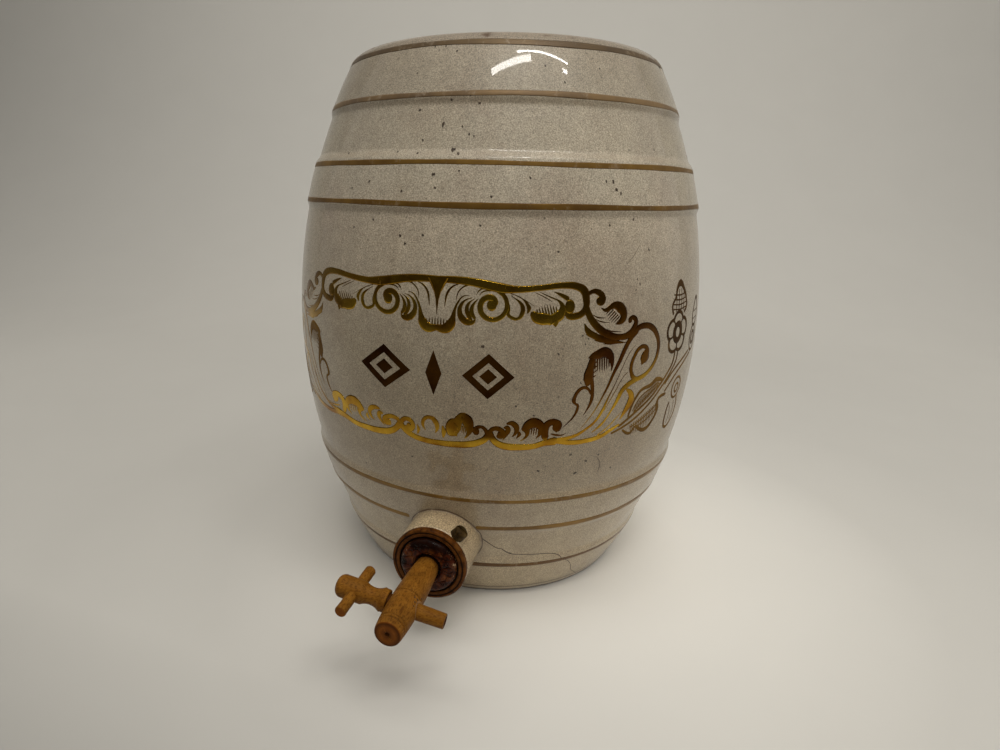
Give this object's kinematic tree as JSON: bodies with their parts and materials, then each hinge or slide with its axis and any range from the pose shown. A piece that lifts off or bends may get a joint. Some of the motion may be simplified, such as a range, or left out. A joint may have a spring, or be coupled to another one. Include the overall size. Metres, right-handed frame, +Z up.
{
  "type": "ceramic spirit barrel",
  "caption": "Glazed ceramic spirit barrel with raised gilt-lined hoops, a recessed top with a lift-off lid, and a turned wooden tap with a key and spout in a boss near its foot.",
  "frame": {"origin": "centre of the flat base, on the surface that the barrel stands on", "axes": "+Z up along the barrel's axis, -Y along the tap towards its front, +X to the side of the spout"},
  "size_m": [0.2999, 0.3765, 0.372],
  "materials": {
    "glaze": "glossy crazed cream-grey glaze with iron specks",
    "gilding": "worn burnished gilding",
    "tarnished_brass": "dull brown tarnish",
    "seal_wax": "dark red-brown cracked wax",
    "cork": "dry cork",
    "tap_wood": "turned orange-brown hardwood, waxed"
  },
  "bodies": {
    "barrel": {"barrel_body": "glaze", "tap_collar": "tarnished_brass", "collar_screw": "tarnished_brass", "bung": "cork", "wax_seal": "seal_wax"},
    "lid": {"lid": "glaze"},
    "tap": {"tap_body": "tap_wood", "key_liner": "cork"},
    "key": {"tap_key": "tap_wood", "key_crossbar": "tap_wood"}
  },
  "joints": [
    {"name": "lid_lift", "type": "slide", "parent": "barrel", "child": "lid", "axis": [0, 0, 1], "range_m": [0, 0.15]},
    {"name": "tap_twist", "type": "hinge", "parent": "barrel", "child": "tap", "pos_m": [0, -0.16249, 0.056], "axis": [0, 1, 0], "range_deg": [-9, 81]},
    {"name": "key_turn", "type": "hinge", "parent": "tap", "child": "key", "pos_m": [0, -0.20349, 0.056], "axis": [0.9877, 0, -0.1564], "continuous": true}
  ]
}
